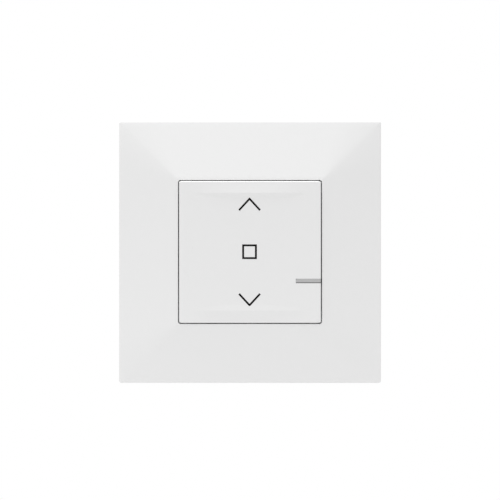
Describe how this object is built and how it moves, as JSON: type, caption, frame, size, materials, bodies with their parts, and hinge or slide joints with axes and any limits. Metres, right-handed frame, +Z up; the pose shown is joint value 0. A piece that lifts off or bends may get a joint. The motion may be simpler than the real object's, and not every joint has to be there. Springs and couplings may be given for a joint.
{
  "type": "roller shutter switch",
  "caption": "Flush wall switch for a roller shutter: square cover frame, one-piece rocking key for up, stop and down, light bar, relay insert with screw terminals.",
  "frame": {"origin": "middle of the mounting plate's rear face, between the wall-box screw slots, in the plane of the wall", "axes": "+X to the right and +Z up as seen from the room, +Y into the wall"},
  "size_m": [0.085, 0.0401, 0.085],
  "materials": {
    "frame_plastic": "white satin moulded plastic",
    "key_plastic": "white satin moulded plastic",
    "light_bar": "grey translucent plastic",
    "dark_plastic": "black moulded plastic",
    "module_plastic": "dark grey flame-retardant plastic",
    "zinc_steel": "zinc-plated steel",
    "spring_steel": "rolled spring strip",
    "silicone": "grey silicone",
    "board": "green solder mask",
    "lamp": "pale lamp body",
    "shield_can": "tinned sheet",
    "chip_black": "black moulding compound",
    "relay_plastic": "black sealed housing",
    "ferrite": "dark ferrite with taped winding",
    "capacitor_sleeve": "dark shrink sleeve",
    "film_plastic": "yellow box",
    "varistor_blue": "blue lacquer",
    "brass_metal": "stamped brass"
  },
  "bodies": {
    "insert": {"cover_frame": "frame_plastic", "mounting_plate": "zinc_steel", "module_cover": "module_plastic", "light_pipe": "light_bar", "dome_mat": "silicone", "control_board": "board", "indicator_lamp": "lamp", "radio_module": "shield_can", "processor_chip": "chip_black", "board_link": "chip_black", "power_board": "board", "relay_up": "relay_plastic", "relay_down": "relay_plastic", "transformer": "ferrite", "bulk_capacitor": "capacitor_sleeve", "film_capacitor": "film_plastic", "varistor": "varistor_blue", "housing_screw_1": "zinc_steel", "housing_screw_2": "zinc_steel", "housing_screw_3": "zinc_steel", "housing_screw_4": "zinc_steel", "rear_housing": "module_plastic", "busbar_1": "brass_metal", "busbar_2": "brass_metal", "busbar_3": "brass_metal", "busbar_4": "brass_metal", "bar_spring_left": "spring_steel", "bar_spring_right": "spring_steel"},
    "pivot": {"pivot_bar": "dark_plastic"},
    "key": {"key_plate": "key_plastic", "light_guide": "light_bar", "key_carrier": "dark_plastic"},
    "clamp_1": {"terminal_cage_1": "zinc_steel"},
    "clamp_2": {"terminal_cage_2": "zinc_steel"},
    "clamp_3": {"terminal_cage_3": "zinc_steel"},
    "clamp_4": {"terminal_cage_4": "zinc_steel"},
    "clamp_screw_1": {"terminal_screw_1": "zinc_steel"},
    "clamp_screw_2": {"terminal_screw_2": "zinc_steel"},
    "clamp_screw_3": {"terminal_screw_3": "zinc_steel"},
    "clamp_screw_4": {"terminal_screw_4": "zinc_steel"}
  },
  "joints": [
    {"name": "stop_press", "type": "slide", "parent": "insert", "child": "pivot", "axis": [0, 1, 0], "range_m": [0, 0.0008], "stiffness_N_per_m": 1500, "springref_m": -0.0012, "deforming": ["bar_spring_left", "bar_spring_right", "dome_mat"]},
    {"name": "key_rock", "type": "hinge", "parent": "pivot", "child": "key", "pos_m": [0, -0.0057, 0], "axis": [1, 0, 0], "range_deg": [-2, 2], "stiffness_Nm_per_rad": 0.6},
    {"name": "clamp_screw_1_turn", "type": "hinge", "parent": "insert", "child": "clamp_screw_1", "pos_m": [-0.0105, 0.0237, -0.018], "axis": [0, 0, 1], "range_deg": [0, 1560]},
    {"name": "clamp_screw_2_turn", "type": "hinge", "parent": "insert", "child": "clamp_screw_2", "pos_m": [-0.0035, 0.0237, -0.018], "axis": [0, 0, 1], "range_deg": [0, 1560]},
    {"name": "clamp_screw_3_turn", "type": "hinge", "parent": "insert", "child": "clamp_screw_3", "pos_m": [0.0035, 0.0237, -0.018], "axis": [0, 0, 1], "range_deg": [0, 1560]},
    {"name": "clamp_screw_4_turn", "type": "hinge", "parent": "insert", "child": "clamp_screw_4", "pos_m": [0.0105, 0.0237, -0.018], "axis": [0, 0, 1], "range_deg": [0, 1560]},
    {"name": "clamp_1_travel", "type": "slide", "parent": "insert", "child": "clamp_1", "axis": [0, 0, 1], "range_m": [-0.0026, 0]},
    {"name": "clamp_2_travel", "type": "slide", "parent": "insert", "child": "clamp_2", "axis": [0, 0, 1], "range_m": [-0.0026, 0]},
    {"name": "clamp_3_travel", "type": "slide", "parent": "insert", "child": "clamp_3", "axis": [0, 0, 1], "range_m": [-0.0026, 0]},
    {"name": "clamp_4_travel", "type": "slide", "parent": "insert", "child": "clamp_4", "axis": [0, 0, 1], "range_m": [-0.0026, 0]}
  ],
  "couplings": [
    {"joint": "clamp_screw_1_turn", "follows": "clamp_1_travel", "rad_per_m": -10472},
    {"joint": "clamp_screw_2_turn", "follows": "clamp_2_travel", "rad_per_m": -10472},
    {"joint": "clamp_screw_3_turn", "follows": "clamp_3_travel", "rad_per_m": -10472},
    {"joint": "clamp_screw_4_turn", "follows": "clamp_4_travel", "rad_per_m": -10472}
  ]
}
